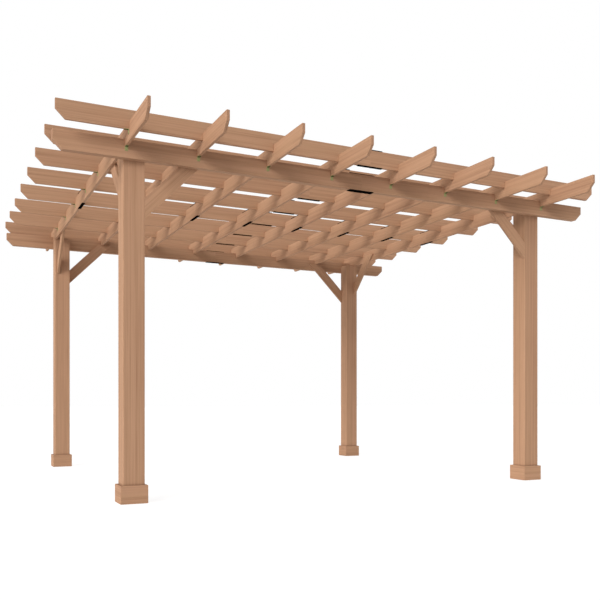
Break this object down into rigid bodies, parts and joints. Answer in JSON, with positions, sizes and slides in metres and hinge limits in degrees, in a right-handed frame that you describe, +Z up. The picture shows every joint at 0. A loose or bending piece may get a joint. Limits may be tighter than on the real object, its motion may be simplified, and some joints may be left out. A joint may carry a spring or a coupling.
{
  "type": "wooden pergola",
  "caption": "Free-standing timber pergola: square posts with foot trims carry beams, notched rafters and crossing purlins, stiffened by knee braces and joined by steel straps and angles.",
  "frame": {"origin": "ground level, at the centre of the plan", "axes": "+X along the beams to the right as seen from the front, +Y along the rafters to the rear, +Z up"},
  "size_m": [4.268, 4.29, 2.42],
  "materials": {
    "timber": "light brown stained softwood with fine straight grain, matt",
    "splice_straps": "satin black coated steel",
    "steel_angles": "matt green coated steel"
  },
  "bodies": {
    "root": {"base_trim_front_left": "timber", "base_trim_front_right": "timber", "base_trim_rear_left": "timber", "base_trim_rear_right": "timber", "beam_angles_front": "steel_angles", "beam_angles_rear": "steel_angles", "beam_brace_front_left": "timber", "beam_brace_front_right": "timber", "beam_brace_rear_left": "timber", "beam_brace_rear_right": "timber", "beam_front": "timber", "beam_rear": "timber", "beam_splice_straps": "splice_straps", "post_front_left": "timber", "post_front_right": "timber", "post_rear_left": "timber", "post_rear_right": "timber", "purlin_1": "timber", "purlin_2": "timber", "purlin_3": "timber", "purlin_4": "timber", "purlin_5": "timber", "purlin_6": "timber", "purlin_7": "timber", "purlin_8": "timber", "purlin_angles_left": "steel_angles", "purlin_angles_right": "steel_angles", "purlin_splice_straps": "splice_straps", "rafter_1": "timber", "rafter_2": "timber", "rafter_3": "timber", "rafter_4": "timber", "rafter_5": "timber", "rafter_6": "timber", "rafter_7": "timber", "rafter_8": "timber", "rafter_brace_front_left": "timber", "rafter_brace_front_right": "timber", "rafter_brace_rear_left": "timber", "rafter_brace_rear_right": "timber", "rafter_splice_straps": "splice_straps"}
  },
  "joints": []
}
